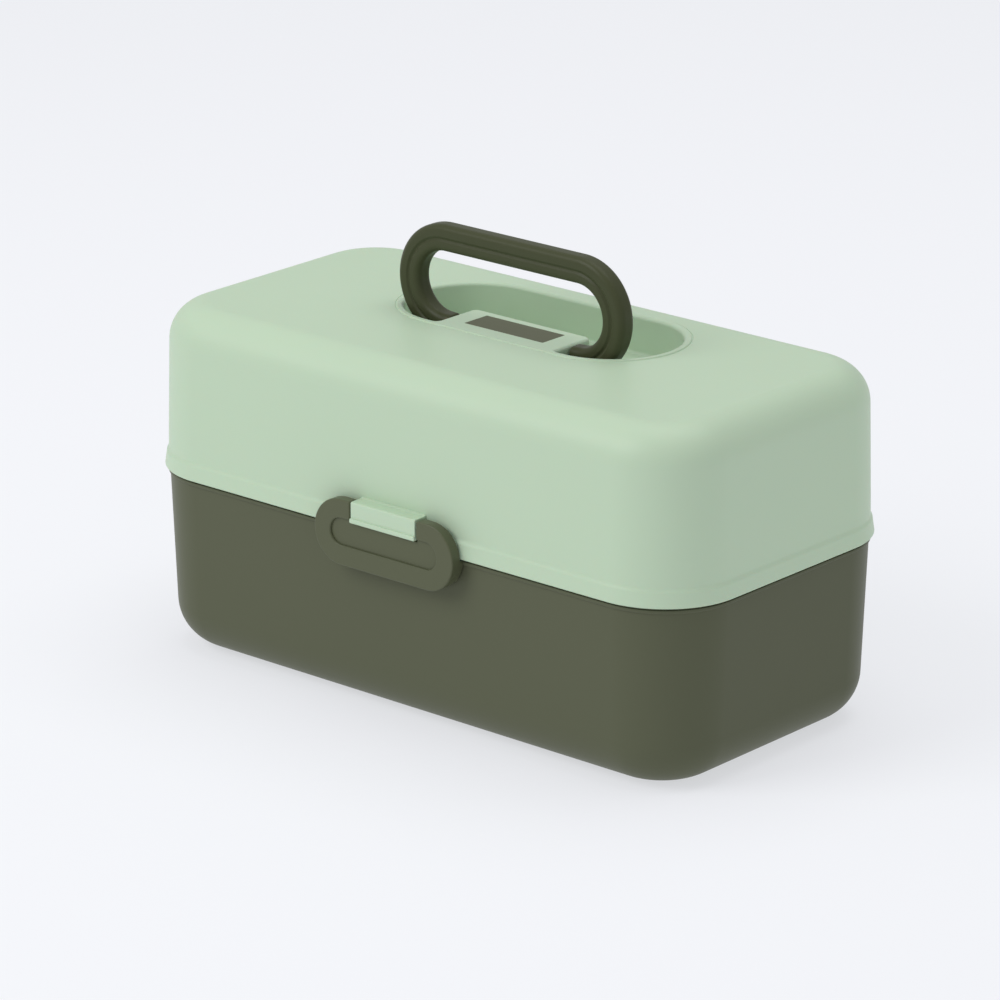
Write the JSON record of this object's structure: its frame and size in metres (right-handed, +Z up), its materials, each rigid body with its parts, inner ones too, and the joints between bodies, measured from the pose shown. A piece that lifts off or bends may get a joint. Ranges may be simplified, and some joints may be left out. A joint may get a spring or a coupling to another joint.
{
  "type": "sewing box with trays",
  "caption": "Rounded two-tone plastic sewing box with hinged lid, folding carry handle, swing latch and cantilever trays that rise as the lid opens.",
  "frame": {"origin": "centre of the underside, on the surface the box stands on", "axes": "+X along the box's length, +Y towards the hinges, -Y towards the latch, +Z up"},
  "size_m": [0.33, 0.1827, 0.2113],
  "materials": {
    "lid_plastic": "satin moulded, pale sage green",
    "base_plastic": "satin moulded, dark olive green",
    "trim_plastic": "satin moulded, darker olive green",
    "tray_plastic": "satin moulded, pale sage green",
    "arm_plastic": "satin moulded, dark olive green",
    "rivet_plastic": "smooth, pale sage green",
    "pin_steel": "drawn wire"
  },
  "bodies": {
    "base": {"base_tub": "base_plastic", "hinge_pin_left": "pin_steel", "base_rivets_left": "rivet_plastic", "hinge_pin_right": "pin_steel", "base_rivets_right": "rivet_plastic"},
    "lid": {"lid_shell": "lid_plastic", "label_plate": "trim_plastic", "lid_rivet_left": "rivet_plastic", "lid_rivet_right": "rivet_plastic"},
    "handle": {"handle": "trim_plastic"},
    "latch": {"latch": "trim_plastic", "latch_pin": "pin_steel"},
    "rear_arms": {"rear_arm_left": "arm_plastic", "rear_arm_right": "arm_plastic"},
    "front_arms": {"front_arm_left": "arm_plastic", "front_arm_right": "arm_plastic"},
    "lower_tray": {"lower_tray": "tray_plastic", "lower_tray_rivets_left": "rivet_plastic", "lower_tray_rivets_right": "rivet_plastic"},
    "upper_tray": {"upper_tray": "tray_plastic", "upper_tray_rivets_left": "rivet_plastic", "upper_tray_rivets_right": "rivet_plastic"},
    "lid_links": {"lid_link_left": "arm_plastic", "lid_link_right": "arm_plastic"}
  },
  "joints": [
    {"name": "lid_hinge", "type": "hinge", "parent": "base", "child": "lid", "pos_m": [0, 0.0882, 0.0888], "axis": [-1, 0, 0], "range_deg": [0, 100]},
    {"name": "handle_fold", "type": "hinge", "parent": "lid", "child": "handle", "pos_m": [0, 0.0009, 0.1621], "axis": [-1, 0, 0], "range_deg": [0, 90]},
    {"name": "latch_swing", "type": "hinge", "parent": "base", "child": "latch", "pos_m": [0, -0.0856, 0.0766], "axis": [1, 0, 0], "range_deg": [0, 90]},
    {"name": "rear_arms_swing", "type": "hinge", "parent": "base", "child": "rear_arms", "pos_m": [0, 0.05, 0.088], "axis": [-1, 0, 0], "range_deg": [0, 100]},
    {"name": "front_arms_swing", "type": "hinge", "parent": "base", "child": "front_arms", "pos_m": [0, 0.02, 0.076], "axis": [-1, 0, 0], "range_deg": [0, 100]},
    {"name": "lower_tray_level", "type": "hinge", "parent": "rear_arms", "child": "lower_tray", "pos_m": [0, 0.01577, 0.09528], "axis": [-1, 0, 0], "range_deg": [-100, 0]},
    {"name": "upper_tray_level", "type": "hinge", "parent": "rear_arms", "child": "upper_tray", "pos_m": [0, -0.01847, 0.10255], "axis": [-1, 0, 0], "range_deg": [-100, 0]},
    {"name": "lid_links_level", "type": "hinge", "parent": "lid", "child": "lid_links", "pos_m": [0, 0.01973, 0.10335], "axis": [-1, 0, 0], "range_deg": [-100, 0]}
  ],
  "couplings": [
    {"joint": "rear_arms_swing", "follows": "lid_hinge", "ratio": 1},
    {"joint": "front_arms_swing", "follows": "lid_hinge", "ratio": 1},
    {"joint": "lower_tray_level", "follows": "lid_hinge", "ratio": -1},
    {"joint": "upper_tray_level", "follows": "lid_hinge", "ratio": -1},
    {"joint": "lid_links_level", "follows": "lid_hinge", "ratio": -1}
  ]
}
